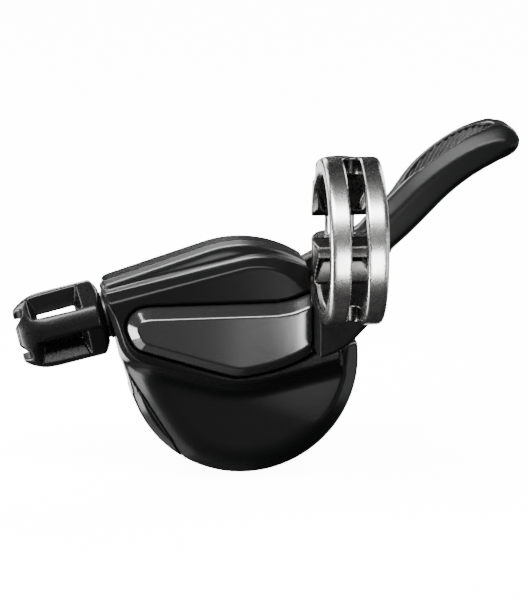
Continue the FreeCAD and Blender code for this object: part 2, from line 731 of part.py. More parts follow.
def pad_recess(margin, sink, thick, back):
    blank = blade(Y_LEVER + 1.2 + margin, back - margin, sink, thick)
    return blank.common(paddle_plan(1.1 + margin)).common(box(11.0 + margin, 26.6 - margin, 0, 60, -40, 40))


def thumb_lever():
    hub = disc(10.2, Y_LEVER, Y_LEVER_BACK)
    paddle = paddle_blank().common(paddle_plan(0.0))
    lever = hub.fuse([lever_arm(), paddle])
    spring_well = disc(8.8, Y_LEVER - 1, Y_LEVER_BACK - 1.1).cut(disc(6.2, 0, 40))
    recess = pad_recess(0.0, -0.5, 1.3, PAD_BACK_Y)
    return lever.cut([disc(SLEEVE_R, 0, 40), spring_well, recess]).removeSplitter()


def thumb_pad():
    """Rubber insert in the paddle's face, with slanting ribs."""
    base = pad_recess(0.06, 0.12, 0.62, PAD_BACK_Y)
    return base


def lever_spring():
    return spiral(6.6, 8.4, 1.9, 20.0, 20.6, 2.4)


# ---- barrel adjuster, made along local +X ----
BARREL_START = 0.9
BARREL_END = 15.8
BARREL_R = 6.55
TUBE_R = 1.7
SOCKET_R = 2.6


def barrel_profile():
    """Body of revolution of the adjuster: a bevelled inner end, a straight grip and a domed outer end."""
    points = [
        V(BARREL_START, 0, 0),
        V(BARREL_START, 0, 4.4),
        V(2.2, 0, BARREL_R),
        V(10.5, 0, BARREL_R),
    ]
    edges = [Part.LineSegment(a, b).toShape() for a, b in zip(points, points[1:])]
    dome = Part.BSplineCurve()
    dome.interpolate([points[-1], V(12.4, 0, 6.3), V(14.3, 0, 5.6), V(BARREL_END, 0, 4.4)])
    edges.append(dome.toShape())
    edges.append(Part.LineSegment(V(BARREL_END, 0, 4.4), V(BARREL_END, 0, 0)).toShape())
    edges.append(Part.LineSegment(V(BARREL_END, 0, 0), points[0]).toShape())
    return Part.Face(Part.Wire(edges)).revolve(V(0, 0, 0), V(1, 0, 0), 360)


FLAT_AT = 5.6                 # distance of the barrel's four flats from the cable axis
CAGE_R = 3.0                  # hollow between the ribs
RIB_TURN = 14.0               # how far the ribs are turned about the cable axis


def barrel_window():
    """Pocket with sloping sides through one flat of the barrel, made in the +Z direction."""
    def loop(x0, x1, half, z):
        corners = [V(x0, -half, z), V(x1, -half * 0.72, z), V(x1, half * 0.72, z), V(x0, half, z)]
        return Part.makePolygon(corners + [corners[0]])
    return Part.makeLoft([loop(5.7, 11.5, 0.44, 2.0), loop(3.8, 14.2, 4.18, 7.5)], True, True)


def adjuster_barrel():
    barrel = barrel_profile()
    cuts = []
    for k in range(4):
        turn = 45.0 + 90.0 * k + RIB_TURN
        flat = box(-5, 20, -8, 8, FLAT_AT, 12)
        notch = Part.makeCylinder(1.4, 6, V(BARREL_END, 0, 3.1), V(0, 0, 1))
        for piece in (flat, barrel_window(), notch):
            piece.rotate(V(0, 0, 0), V(1, 0, 0), turn)
            cuts.append(piece)
    hollow = tube_x(CAGE_R, 4.9, 11.9)
    bore = tube_x(TUBE_R, 0, 20)
    socket = tube_x(SOCKET_R, 11.8, 20)
    return along_cable(barrel.cut(cuts + [hollow, bore, socket]).removeSplitter())


def adjuster_bolt():
    """Threaded tube that screws into the nose and carries the barrel."""
    bolt = tube_x(TUBE_R, -7.0, 11.7).cut(tube_x(0.9, -10, 20))
    return along_cable(bolt)


def key(x0, x1, margin, side):
    """Flat key beside the tube, on one side of the cable axis."""
    low, high = 2.45 - margin, 3.2 + margin
    z0, z1 = (low, high) if side > 0 else (-high, -low)
    return box(x0, x1, -0.9 - margin, 0.9 + margin, z0, z1)


def nose_insert():
    """Metal thread insert and guide in the nose, standing out as a short neck."""
    insert = tube_x(3.7, -8.5, 0.0).fuse(tube_x(4.1, 0.0, 0.5))
    cuts = [tube_x(TUBE_R + RUN, -7.6, 5), tube_x(1.0, -10, 0)]
    cuts += [key(-6.0, 2.0, 0.05, side) for side in (-1, 1)]
    return along_cable(insert.cut(cuts))


def click_ring():
    """Detent ring that follows the barrel out without turning, on two keys in the insert."""
    ring = tube_x(3.9, 0.55, 0.85).cut(tube_x(TUBE_R + RUN, -1, 2))
    return along_cable(ring.fuse([key(-5.5, 0.7, 0.0, side) for side in (-1, 1)]))


CLAMP_PARTS = [clamp_band, clamp_bolt, foot_screw, bracket]
BODY_PARTS = [
    rear_case,
    front_cover,
    name_plate,
    cover_screws,
    cable_port_plug,
    support_plate,
    plate_posts,
    bracket_screws,
    main_axle,
    axle_washer,
    axle_nut,
    hold_pawl_pin,
    cable_drum,
    ratchet_plate,
    drum_spring,
    hold_pawl,
    drive_pawl,
    hold_pawl_spring,
    drive_pawl_spring,
    drive_plate,
    drive_sleeve,
    drive_pawl_pin,
    thumb_lever,
    thumb_pad,
    lever_spring,
    adjuster_barrel,
    adjuster_bolt,
    nose_insert,
    click_ring,
]


for make in CLAMP_PARTS:
    save(make.__name__, make())
for make in BODY_PARTS:
    save(make.__name__, to_bar(make()))
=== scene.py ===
"""Looks of the thumb shifter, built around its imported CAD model.

The visible shells are drawn as distance fields: each shape function below gives, for points in
millimetres, how far they lie outside its surface, and surface() turns such a field into a mesh of
even quads that lie on it. Fields are joined and cut with rounded edges, as the moulded and forged
pieces have. The clamp is drawn in the bar's frame. The body, lever and adjuster are drawn in the
body's own frame, which place() moves to the bar's frame, as in the CAD model.
"""

import json
import math

import bpy
import numpy as np
from mathutils import Matrix, Vector


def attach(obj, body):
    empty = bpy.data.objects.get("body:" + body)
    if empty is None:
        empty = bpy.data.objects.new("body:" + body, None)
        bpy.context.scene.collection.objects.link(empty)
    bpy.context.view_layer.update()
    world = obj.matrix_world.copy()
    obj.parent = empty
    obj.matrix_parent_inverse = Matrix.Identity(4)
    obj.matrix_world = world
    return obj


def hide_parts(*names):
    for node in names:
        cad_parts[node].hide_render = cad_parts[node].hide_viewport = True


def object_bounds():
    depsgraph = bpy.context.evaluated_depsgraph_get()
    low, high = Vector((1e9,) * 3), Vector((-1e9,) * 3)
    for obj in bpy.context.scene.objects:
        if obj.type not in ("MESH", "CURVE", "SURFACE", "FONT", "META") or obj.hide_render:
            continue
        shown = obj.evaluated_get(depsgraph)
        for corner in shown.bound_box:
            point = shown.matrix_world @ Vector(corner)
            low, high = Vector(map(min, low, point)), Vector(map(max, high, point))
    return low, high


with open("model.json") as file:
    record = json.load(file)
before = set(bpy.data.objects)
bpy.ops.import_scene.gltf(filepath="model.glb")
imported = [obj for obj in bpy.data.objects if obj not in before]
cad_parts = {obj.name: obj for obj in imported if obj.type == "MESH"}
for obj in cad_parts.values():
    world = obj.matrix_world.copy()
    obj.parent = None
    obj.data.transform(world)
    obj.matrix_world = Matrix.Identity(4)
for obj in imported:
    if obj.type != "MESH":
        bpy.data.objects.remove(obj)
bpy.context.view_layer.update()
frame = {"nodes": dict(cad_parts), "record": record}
MM = 0.001
COARSE = 1.0

# ---- sizes shared with the CAD model, in millimetres ----
BAR_R = 11.1
BAND_R = 14.0
BAND_HALF = 4.9
BODY_AT = (1.31, 11.5, -2.46)
HUB_X, HUB_Z = -17.3, -21.1
BODY_R = 19.6
WALL = 1.4
CABLE_Y = 9.0
TILT = math.radians(13.2)
NOSE = (-39.7, CABLE_Y, -13.3)
Y_FACE, Y_SHOULDER = -0.5, 1.5
Y_SKIRT, Y_RIM = 2.5, 6.0
Y_SPLIT, Y_FLOOR, Y_CASE = 10.5, 15.2, 16.5
POCKET_X, POCKET_Z = -6.4, -18.5
LEVER_Y, LEVER_BACK_Y, PAD_BACK_Y = 20.4, 24.4, 33.0


# ---- distance fields ----
def union(a, b, k=0.0):
    """Joins two fields, with a fillet of about k."""
    h = np.maximum(k - np.abs(a - b), 0.0)
    return np.minimum(a, b) - h * h / (4.0 * np.maximum(k, 1e-6))


def ramp(v, low, high):
    """Smooth step from 0 to 1."""
    t = np.clip((v - low) / (high - low), 0.0, 1.0)
    return t * t * (3.0 - 2.0 * t)


def both(a, b, k=0.0):
    """Keeps what lies in both fields, with an edge rounded by about k."""
    return -union(-a, -b, k)


def cut(a, b, k=0.0):
    return both(a, -b, k)


def from_hub(x, z):
    return np.hypot(x - HUB_X, z - HUB_Z)


def polygon(points):
    """Exact field of a closed outline in the X-Z plane."""
    ends = list(zip(points, points[1:] + points[:1]))

    def field(x, z):
        shape = np.broadcast(x, z).shape
        best = np.full(shape, 1e9)
        inside = np.zeros(shape, bool)
        for (ax, az), (bx, bz) in ends:
            ex, ez = bx - ax, bz - az
            wx, wz = x - ax, z - az
            h = np.clip((wx * ex + wz * ez) / (ex * ex + ez * ez), 0.0, 1.0)
            best = np.minimum(best, (wx - ex * h) ** 2 + (wz - ez * h) ** 2)
            if az != bz:
                straddles = (az > z) != (bz > z)
                inside ^= straddles & (x < ax + ex * (z - az) / (bz - az))
        return np.where(inside, -1.0, 1.0) * np.sqrt(best)

    return field


def spline(points, steps=8):
    """Points of a smooth curve through the given points."""
    p = [np.array(q, float) for q in points]
    p = [2 * p[0] - p[1]] + p + [2 * p[-1] - p[-2]]
    out = []
    for a, b, c, d in zip(p, p[1:], p[2:], p[3:]):
        for k in range(steps):
            t = k / steps
            square = 2 * a - 5 * b + 4 * c - d
            cube = 3 * b - a - 3 * c + d
            out.append(0.5 * (2 * b + (c - a) * t + square * t**2 + cube * t**3))
    out.append(p[-2])
    return [tuple(float(v) for v in q) for q in out]


def polar(angle, radius):
    a = math.radians(angle)
    return HUB_X + radius * math.cos(a), HUB_Z + radius * math.sin(a)


# ---- mesher ----
SETTLE_ROUNDS = 3
PROBE = 0.02          # distance over which a field's slope is taken
LONGEST_MOVE = 0.45   # of the grid's step, in one round
LEAST_SLOPE = 0.2     # square of the slope below which a point moves no faster


def field_on_grid(shape, low, high, step):
    axes = [np.arange(a, b + step, step) for a, b in zip(low, high)]
    x, y, z = np.ix_(*axes)
    full = (len(axes[0]), len(axes[1]), len(axes[2]))
    return np.ascontiguousarray(np.broadcast_to(shape(x, y, z), full)), full


def surface(shape, low, high, step):
    """Vertices on the zero surface of a field, and the quads between them."""
    step = step * COARSE
    d, full = field_on_grid(shape, low, high, step)
    inside = d < 0
    cells = tuple(n - 1 for n in full)
    count = np.zeros(cells[0] * cells[1] * cells[2])
    total = np.zeros((len(count), 3))
    rings = []
    for axis in range(3):
        first = [slice(None)] * 3
        second = [slice(None)] * 3
        first[axis], second[axis] = slice(0, -1), slice(1, None)
        a, b = d[tuple(first)], d[tuple(second)]
        crossing = inside[tuple(first)] != inside[tuple(second)]
        at = np.argwhere(crossing)
        da, db = a[crossing], b[crossing]
        point = at.astype(float)
        point[:, axis] += da / (da - db)
        u, v = (axis + 1) % 3, (axis + 2) % 3
        corner_ids = []
        ok = np.ones(len(at), bool)
        for du, dv in ((-1, -1), (0, -1), (0, 0), (-1, 0)):
            cell = at.copy()
            cell[:, u] += du
            cell[:, v] += dv
            good = np.all((cell >= 0) & (cell < cells), axis=1)
            ok &= good
            flat = np.ravel_multi_index(np.where(good[:, None], cell, 0).T, cells)
            np.add.at(count, flat[good], 1)
            for c in range(3):
                total[:, c] += np.bincount(flat[good], point[good, c], len(count))
            corner_ids.append(flat)
        quad = np.stack(corner_ids, 1)[ok]
        flip = ~inside[tuple(first)][crossing][ok]
        quad[flip] = quad[flip][:, ::-1]
        rings.append(quad)
    used = np.flatnonzero(count)
    index = np.full(len(count), -1)
    index[used] = np.arange(len(used))
    verts = total[used] / count[used][:, None] * step + np.array(low)
    return settle(verts, shape, step), index[np.concatenate(rings)]


def settle(p, shape, step):
    """Moves points onto the surface along the field's slope."""
    for _ in range(SETTLE_ROUNDS):
        d = shape(p[:, 0], p[:, 1], p[:, 2])
        slope = np.empty_like(p)
        for c in range(3):
            q = p.copy()
            q[:, c] += PROBE
            ahead = shape(q[:, 0], q[:, 1], q[:, 2])
            q[:, c] -= 2 * PROBE
            slope[:, c] = (ahead - shape(q[:, 0], q[:, 1], q[:, 2])) / (2 * PROBE)
        size = np.maximum((slope * slope).sum(1), LEAST_SLOPE)
        move = slope * (d / size)[:, None]
        length = np.sqrt((move * move).sum(1))
        move *= np.minimum(1.0, LONGEST_MOVE * step / np.maximum(length, 1e-9))[:, None]
        p = p - move
    return p


def mesh_piece(name, verts, faces, at):
    mesh = bpy.data.meshes.new(name)
    mesh.vertices.add(len(verts))
    mesh.vertices.foreach_set("co", ((verts + np.array(at)) * MM).astype(np.float32).ravel())
    mesh.loops.add(faces.size)
    mesh.loops.foreach_set("vertex_index", faces.astype(np.int32).ravel())
    mesh.polygons.add(len(faces))
    mesh.polygons.foreach_set("loop_start", np.arange(0, faces.size, 4, dtype=np.int32))
    mesh.polygons.foreach_set("use_smooth", np.ones(len(faces), bool))
    mesh.update(calc_edges=True)
    mesh.validate()
    piece = bpy.data.objects.new(name, mesh)
    bpy.context.scene.collection.objects.link(piece)
    return piece


def fit_piece(name, shape, low, high, step, body, node, at):
    """Meshes a field and lets it stand for a CAD node."""
    verts, faces = surface(shape, low, high, step)
    piece = mesh_piece(name, verts, faces, at)
    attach(piece, body)
    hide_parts(node)
    return piece


# ---- cover, plate and case ----
def nose_plane(x, z):
    """Distance beyond the nose's end face."""
    return -(x - NOSE[0]) * math.cos(TILT) - (z - NOSE[2]) * math.sin(TILT)


def tangent(point, upper):
    dx, dz = point[0] - HUB_X, point[1] - HUB_Z
    away = math.atan2(dz, dx)
    half = math.acos(BODY_R / math.hypot(dx, dz))
    return away - half if upper else away + half


NOSE_HALF = 5.4
TOP_CORNER = (NOSE[0] - math.sin(TILT) * NOSE_HALF, NOSE[2] + math.cos(TILT) * NOSE_HALF)
LOW_CORNER = (NOSE[0] + math.sin(TILT) * NOSE_HALF, NOSE[2] - math.cos(TILT) * NOSE_HALF)
TOP_ANGLE = tangent(TOP_CORNER, True)
LOW_ANGLE = tangent(LOW_CORNER, False)


def teardrop(x, z, nose_k=0.6):
    """Outline of the body: a circle drawn out into the nose."""
    dx, dz = x - HUB_X, z - HUB_Z
    tx, tz = math.cos(TOP_ANGLE), math.sin(TOP_ANGLE)
    lx, lz = math.cos(LOW_ANGLE), math.sin(LOW_ANGLE)
    upper = dx * tx + dz * tz - BODY_R
    lower = dx * lx + dz * lz - BODY_R
    wedge = (tx * dz - tz * dx > 0) & (lx * dz - lz * dx < 0)
    drawn = both(both(upper, lower, 0.0), nose_plane(x, z), nose_k)
    return np.where(wedge, drawn, np.hypot(dx, dz) - BODY_R)


def roof_rear(x):
    """Height of the roof where the cover meets the case."""
    tangent_x = HUB_X + BODY_R * math.cos(TOP_ANGLE)
    tangent_z = HUB_Z + BODY_R * math.sin(TOP_ANGLE)
    slope = -math.cos(TOP_ANGLE) / math.sin(TOP_ANGLE)
    arc = HUB_Z + np.sqrt(np.maximum(BODY_R**2 - (x - HUB_X) ** 2, 0.01))
    return np.where(x < tangent_x, tangent_z + (x - tangent_x) * slope, arc)


def roof_line(x, at_x, at_z, slope, radius):
    """Height of a straight roof edge that runs into an arc at one point."""
    angle = math.atan(slope)
    cx = at_x + radius * math.sin(angle)
    cz = at_z - radius * math.cos(angle)
    arc = cz + np.sqrt(np.maximum(radius**2 - (x - cx) ** 2, 0.01))
    return np.where(x < at_x, at_z + (x - at_x) * slope, arc)


# Edges of the roof, as roof_line takes them: strip to bevel, and bevel to flat front.
MIDDLE_EDGE = (-18.2, -3.05, 0.231, 15.9)
FRONT_EDGE = (-18.3, -4.2, 0.2484, 10.8)
STRIP_DEEP = 9.0              # depth of the strip, which runs back to the case
STRIP_SAG, CREST_LIP = 0.30, 0.45
CREST_AT = 0.84               # share of the strip's depth where the lip at its rear starts
VEE_X, VEE_Z = -18.5, -24.5   # lowest point of the belt
VEE_LEFT, VEE_RIGHT = -0.281, 0.244
BELT_RIGHT = -1.4


def belt_field(x, y, z):
    """Raised upper half of the cover: sloping roof strip, bevel, and flat front."""
    rear = roof_rear(x)
    middle = roof_line(x, *MIDDLE_EDGE)
    front = roof_line(x, *FRONT_EDGE)
    t = np.clip((y - Y_SHOULDER) / STRIP_DEEP, 0.0, 1.0)
    hollow = STRIP_SAG * np.sin(math.pi * t) + CREST_LIP * t * (1.0 - ramp(t, CREST_AT, 1.0))
    strip = z - (middle + (rear - middle) * t - hollow)
    drop = middle - front
    deep = Y_SHOULDER - Y_FACE
    bevel = ((z - front) * deep - (y - Y_FACE) * drop) / np.sqrt(deep * deep + drop * drop)
    roof = both(strip * 0.95, bevel, 0.35)
    left_line = VEE_Z + VEE_LEFT * (x - VEE_X)
    right_line = VEE_Z + VEE_RIGHT * (x - VEE_X)
    low = -union(-left_line, -right_line, 2.6)
    under = (low - z) * 0.96
    under = (under - 0.42 * (y - Y_FACE)) * 0.92
    swell = 0.45 * ramp(z, -17.0, -10.0)
    lean = 0.45 * np.maximum(1.6 - y, 0.0) * ramp(-z, 8.5, 13.0)
    left = nose_plane(x, z) - swell + lean
    side = both(both(under, left, 3.0), x - BELT_RIGHT, 0.4)
    return both(both(roof, side, 0.5), Y_FACE - y, 0.45)


CHORD_IN, CHORD_OUT = (-38.4, -20.3), (-26.5, -39.3)


def chord_field(x, z):
    """Distance beyond the cover's straight lower-left edge."""
    (ax, az), (bx, bz) = CHORD_IN, CHORD_OUT
    length = math.hypot(bx - ax, bz - az)
    nx, nz = (bz - az) / length, -(bx - ax) / length
    return (x - ax) * nx + (z - az) * nz


def pocket_field(x, z, margin=0.0):
    """Room for the clamp band and the bracket's leg."""
    return np.maximum(POCKET_X - margin - x, POCKET_Z - margin - z)


def cable_axis(x, y, z):
    """Distance out along the cable axis from the nose, and from the axis."""
    dx, dy, dz = x - NOSE[0], y - NOSE[1], z - NOSE[2]
    along = -dx * math.cos(TILT) - dz * math.sin(TILT)
    return along, np.sqrt(np.maximum(dx * dx + dy * dy + dz * dz - along * along, 0.0))


PLATE_UNDER = [(-6.0, -16.4), (-8.6, -18.1), (-12.6, -19.7), (-16.6, -20.6), (-19.0, -20.8), (-21.6, -20.2)]
PLATE_FACE = polygon(
    spline([(-35.5, -15.0), (-35.9, -13.7), (-35.1, -12.5), (-33.6, -12.2)], 12)
    + [(-13.0, -12.0)]
    + spline([(-12.0, -11.95), (-9.4, -11.5), (-6.4, -10.4)], 4)
    + [(-3.5, -12.0)]
    + spline(PLATE_UNDER, 5)
    + spline([(-33.6, -16.5), (-34.8, -16.0), (-35.5, -15.0)], 12)[:-1]
)


BEVEL_WIDE = 3.1              # wide bevel round the skirt
CHORD_INSET = 1.2
CREASE = (-5.3, -31.9)        # point on the slanting line above which the skirt leans back
CREASE_TURN = (0.349, 0.937)  # direction in which it does, in X and Z
CREASE_SLOPE = 0.07
WINDOW_MARGIN = 2.15          # between the plate's flat face and the edge of the cover's window
WINDOW_BACK = 1.0
ROOM_FRONT = 2.3
BORE_R, BORE_DEEP = 3.75, 9.0  # hole for the threaded insert in the nose
PLATE_Y = -2.75               # flat face of the plate
PLATE_BACK = 0.8
PLATE_DEEP, PLATE_WIDE = 1.9, 1.75  # bevel of the plate
BEND_X, BEND = -9.8, 0.0042   # where the plate's right end starts to curve back, and how fast


def wide_bevel(outline, y, foot):
    """Bevel from the outline, at depth foot, to the flat front."""
    deep = Y_RIM - Y_SKIRT
    return (deep * outline - BEVEL_WIDE * (y - foot)) / math.hypot(deep, BEVEL_WIDE)


def cover_outer(x, y, z):
    d = teardrop(x, z)
    rim = wide_bevel(both(d, chord_field(x, z) - CHORD_INSET, 1.5), y, Y_RIM)
    above = (x - CREASE[0]) * CREASE_TURN[0] + (z - CREASE[1]) * CREASE_TURN[1]
    front = Y_SKIRT + CREASE_SLOPE * (np.sqrt(above * above + 1.0) + above) * 0.5
    soft = 0.45 + 1.3 * (1.0 - ramp(x + z * 0.4, -22.0, -16.0))
    skirt = both(both(d, rim, 0.7), front - y, soft)
    soft_foot = 0.3 + 1.8 * ramp(x, -37.0, -33.0) * ramp(-z, 17.5, 20.5)
    return union(skirt, belt_field(x, y, z), soft_foot)


def cable_bore(x, y, z):
    along, away = cable_axis(x, y, z)
    return along, np.maximum(away - BORE_R, -BORE_DEEP - along)


def cover_field(x, y, z):
    outer = cover_outer(x, y, z)
    chord = chord_field(x, z)
    shell = both(outer, y - Y_SPLIT, 0.35)
    shell = both(shell, chord, 0.12)
    shell = cut(shell, pocket_field(x, z), 0.5)
    window = PLATE_FACE(x, z) - WINDOW_MARGIN
    shell = cut(shell, np.maximum(window, y - WINDOW_BACK), 0.25)
    room = np.maximum(np.maximum(outer + WALL, chord + WALL), -pocket_field(x, z, WALL))
    room = np.maximum(room, ROOM_FRONT - y)
    hole = cable_bore(x, y, z)[1]
    return cut(cut(shell, room, 0.1), hole, 0.3)


def plate_field(x, y, z):
    edge = PLATE_FACE(x, z)
    face = PLATE_Y + BEND * np.maximum(x - BEND_X, 0.0) ** 3
    bevel = (PLATE_DEEP * edge - PLATE_WIDE * (y - face)) / math.hypot(PLATE_DEEP, PLATE_WIDE)
    crown = both(bevel, face - y, 0.28)
    crown = both(crown, edge - 1.72, 0.3)
    crown = np.maximum(crown, y - PLATE_BACK)
    return both(crown, x - (POCKET_X - 0.05), 0.8)


# Posts and the holding pawl's pin as angle and radius round the hub, screws as points.
POSTS = ((160.0, 13.4), (256.0, 13.4), (345.0, 13.4))
POST_HOLE = 1.55
HOLD_PIN = (318.0, 13.2)
PIN_HOLE = 0.95
SCREWS = ((-34.6, -10.3), (-11.7, -36.4))
SCREW_HOLE = 0.85
HUB_HOLE = 5.6
SEGMENT_FRONT = 4.7           # front of the case's segment beyond the cover's straight edge
SEAM = 0.04
JOINT_GAP = 0.1
CASE_INSET = 0.16             # of the case's roof, behind the cover's


def case_field(x, y, z):
    d = teardrop(x, z, 1.4) + CASE_INSET * ramp(z, -14.0, -9.0)
    body = both(d, y - Y_CASE, 1.3)
    chord = chord_field(x, z)
    segment = both(SEAM - chord, SEGMENT_FRONT - y, 0.15)
    split = union(Y_SPLIT + JOINT_GAP - y, segment, 0.2)
    cap = wide_bevel(d, y, Y_RIM + 0.2)
    shell = both(both(body, cap, 0.4), split, 0.1)
    shell = cut(shell, pocket_field(x, z), 0.5)
    room = np.maximum(np.maximum(d + WALL, y - Y_FLOOR), -pocket_field(x, z, WALL))
    room = np.maximum(room, np.maximum(chord + 1.0, Y_SPLIT - y))
    shell = cut(shell, room, 0.1)
    along, holes = cable_bore(x, y, z)
    holes = union(holes, from_hub(x, z) - HUB_HOLE)
    drilled = [(*polar(*post), POST_HOLE) for post in POSTS]
    drilled.append((*polar(*HOLD_PIN), PIN_HOLE))
    drilled += [(*screw, SCREW_HOLE) for screw in SCREWS]
    for px, pz, radius in drilled:
        holes = union(holes, np.hypot(x - px, z - pz) - radius)
    holes = np.maximum(holes, np.where(along > -BORE_DEEP - 0.5, -1.0, 12.0 - y))
    return cut(shell, holes, 0.15)


# ---- clamp ----
BOLT_Y = 15.2
JAW_TOP, JAW_BOTTOM = 7.5, -9.0
JAW_FRONT = 9.0
JAW_HALF_GAP = 1.85
BOSS_R = 4.3
SEAT_R = 4.25                 # counterbore over the bolt's head
UPPER_HOLE_R, LOWER_HOLE_R = 2.75, 2.52
SLOT_HALF = 1.42
SLOT_BACK = -0.8              # where the slot's rounded ends lie
LIP = 1.35                    # height of the chamfer at the gap, inside the jaws
RECESS_DEEP = 1.2             # sunk panels in the jaws' bores
FOOT_RIGHT = [(4.0, -10.0), (3.6, -14.2), (1.3, -16.6), (-0.4, -18.2), (-2.4, -19.3)]
FOOT = polygon([(-5.0, -10.0)] + FOOT_RIGHT + [(-5.0, -20.2)])


def band_field(x, y, z):
    r = np.hypot(y, z)
    from_bolt = np.hypot(x, y - BOLT_Y)
    ring = both(r - BAND_R, np.abs(x) - BAND_HALF, 1.0)
    height = np.maximum(z - JAW_TOP, JAW_BOTTOM - z)
    boss = both(from_bolt - BOSS_R, height, 0.7)
    block = np.maximum(np.abs(x) - (BAND_HALF - 0.3), np.maximum(JAW_FRONT - y, y - BOLT_Y))
    block = both(block, height, 0.7)
    body = union(ring, union(boss, block, 0.6), 1.0)
    flare = r - BAR_R - np.maximum(np.abs(x) - (BAND_HALF - 0.75), 0.0)
    body = cut(body, flare, 0.2)
    slot = np.maximum(np.abs(x) - SLOT_HALF, y - SLOT_BACK)
    ends = np.hypot(x, y - SLOT_BACK) - SLOT_HALF
    slot = np.maximum(union(slot, ends), 3.0 - r)
    body = cut(body, slot, 0.35)
    lip = np.maximum(BAR_R + LIP - r, 0.0)
    gap = np.maximum(np.abs(z) - JAW_HALF_GAP - lip, 5.0 - y)
    body = cut(body, gap, 0.25)
    tuck = np.abs(x) - 4.1 + 0.75 * (y - 10.0)
    low_tuck = np.maximum(z + 3.4 - 0.75 * (y - 12.2), -8.8 - z)
    high_tuck = np.maximum(3.0 - z, z - 7.0)
    panels = np.minimum(low_tuck * 0.8, high_tuck)
    recess = np.maximum(np.maximum(tuck * 0.8, r - BAR_R - RECESS_DEEP), panels)
    body = cut(body, np.maximum(recess, 7.0 - y), 0.15)
    seat = np.maximum(from_bolt - SEAT_R, JAW_TOP - z)
    hole = from_bolt - np.where(z > 0, UPPER_HOLE_R, LOWER_HOLE_R)
    hole = np.maximum(hole, np.where(z > 0, -1.0, JAW_BOTTOM + 0.9 - z))
    return cut(cut(body, seat, 0.1), hole, 0.2)


def foot_field(x, y, z):
    """Black foot under the ring, which the bracket's leg carries on."""
    foot = both(FOOT(x, z), np.maximum(0.6 - y, y - 12.0), 0.7)
    foot = np.maximum(foot, np.where(y > 9.0, z + 12.9, -1.0))
    return cut(foot, np.hypot(y, z) - BAND_R + 0.25, 0.1)


# ---- lever ----
TOP_LINE = [(4.6, -1.8), (8.9, 1.9), (13.1, 6.0), (16.7, 9.0), (20.4, 11.5), (24.0, 13.3), (27.4, 14.3)]
TIP = [(29.6, 14.3), (31.0, 13.5), (31.6, 12.2), (31.0, 10.9), (29.6, 10.0)]
UNDER_LINE = [(27.7, 8.6), (25.5, 7.4), (22.8, 5.7), (19.2, 2.8), (13.8, -2.6), (9.6, -6.4)]
ARM = polygon([(-15.0, -12.2)] + spline(TOP_LINE + TIP + UNDER_LINE, 5) + [(-8.6, -25.0)])
TOP_CURVE = spline(TOP_LINE + TIP[:2], 6)
BLADE_THICK = 2.6
BULB, BULB_R = (28.9, 11.9), 2.65
LEVER_HUB_R, LEVER_BORE_R = 10.2, 4.6
WELL_R = (6.2, 8.8)           # ring-shaped hollow round the hub nut
WELL_DEEP = 1.1
FACET_IN, UNDER_IN = 1.5, 0.9  # how far the two bevels run back from the lever's front
PAD_WELL = 0.8


def below_top(x, z):
    """Distance along the lever's top line, and depth below it."""
    start = np.zeros(np.broadcast(x, z).shape)
    best = np.full(start.shape, 1e9)
    depth = start.copy()
    along = start.copy()
    run = 0.0
    for (ax, az), (bx, bz) in zip(TOP_CURVE, TOP_CURVE[1:]):
        ex, ez = bx - ax, bz - az
        length = math.hypot(ex, ez)
        wx, wz = x - ax, z - az
        h = np.clip((wx * ex + wz * ez) / length**2, 0.0, 1.0)
        d2 = (wx - ex * h) ** 2 + (wz - ez * h) ** 2
        side = (wx * ez - wz * ex) / length
        near = d2 < best
        best = np.where(near, d2, best)
        depth = np.where(near, np.sign(side) * np.sqrt(d2), depth)
        along = np.where(near, run + length * h, along)
        run += length
    return along, depth


BLADE_BACK = [(38.0, 28.0), (34.5, 31.4), (28.0, PAD_BACK_Y - 0.3), (20.0, PAD_BACK_Y - 0.3)]
BLADE_ROOT = [(13.0, 31.2), (7.0, 27.0), (0.0, 23.4)]
BLADE_PLAN = polygon([(0.0, LEVER_Y), (38.0, LEVER_Y)] + spline(BLADE_BACK + BLADE_ROOT, 5))
PAD_FRONT = [(9.4, 23.8), (12.0, 22.6), (16.0, 22.2), (22.0, 22.3), (26.4, 23.0), (28.8, 25.0)]
PAD_BACK = [(28.8, 25.0), (27.6, 28.4), (24.0, 30.6), (19.0, 30.9), (14.8, 29.4), (11.4, 26.8), (9.4, 23.8)]
PAD_PLAN = polygon(spline(PAD_FRONT, 4)[:-1] + spline(PAD_BACK, 4)[:-1])


def lever_field(x, y, z):
    along, depth = below_top(x, z)
    arm = both(ARM(x, z), np.maximum(LEVER_Y - y, y - LEVER_BACK_Y), 0.6)
    from_axis = from_hub(x, z)
    hub = both(from_axis - LEVER_HUB_R, np.maximum(LEVER_Y - y, y - LEVER_BACK_Y), 1.0)
    blade = both(np.maximum(-depth, depth - BLADE_THICK), BLADE_PLAN(along, y), 0.8)
    blade = both(blade, x - TIP[0][0] - 0.4, 2.4)
    round_tip = np.hypot(x - BULB[0], z - BULB[1]) - BULB_R
    bulb = both(round_tip, np.maximum(LEVER_Y - y, y - PAD_BACK_Y + 3.4), 2.4)
    body = union(union(arm, hub, 3.0), union(blade, bulb, 1.6), 1.2)
    body = np.maximum(body, LEVER_Y - y)
    facet = (LEVER_Y + FACET_IN - y) * 0.78 - depth * 0.62
    under_facet = (LEVER_Y + UNDER_IN - y) * 0.6 + (ARM(x, z) + 0.25) * 0.8
    body = both(body, np.where(along > 1.0, facet, -9.0), 0.35)
    body = both(body, np.where(z > -6.0, under_facet, -9.0), 0.4)
    recess = np.maximum(PAD_PLAN(along, y), np.maximum(-0.9 - depth, depth - PAD_WELL))
    body = cut(body, recess, 0.15)
    well = np.maximum(from_axis - WELL_R[1], WELL_R[0] - from_axis)
    well = np.maximum(well, y - (LEVER_BACK_Y - WELL_DEEP))
    return cut(cut(body, well, 0.2), from_axis - LEVER_BORE_R, 0.25)


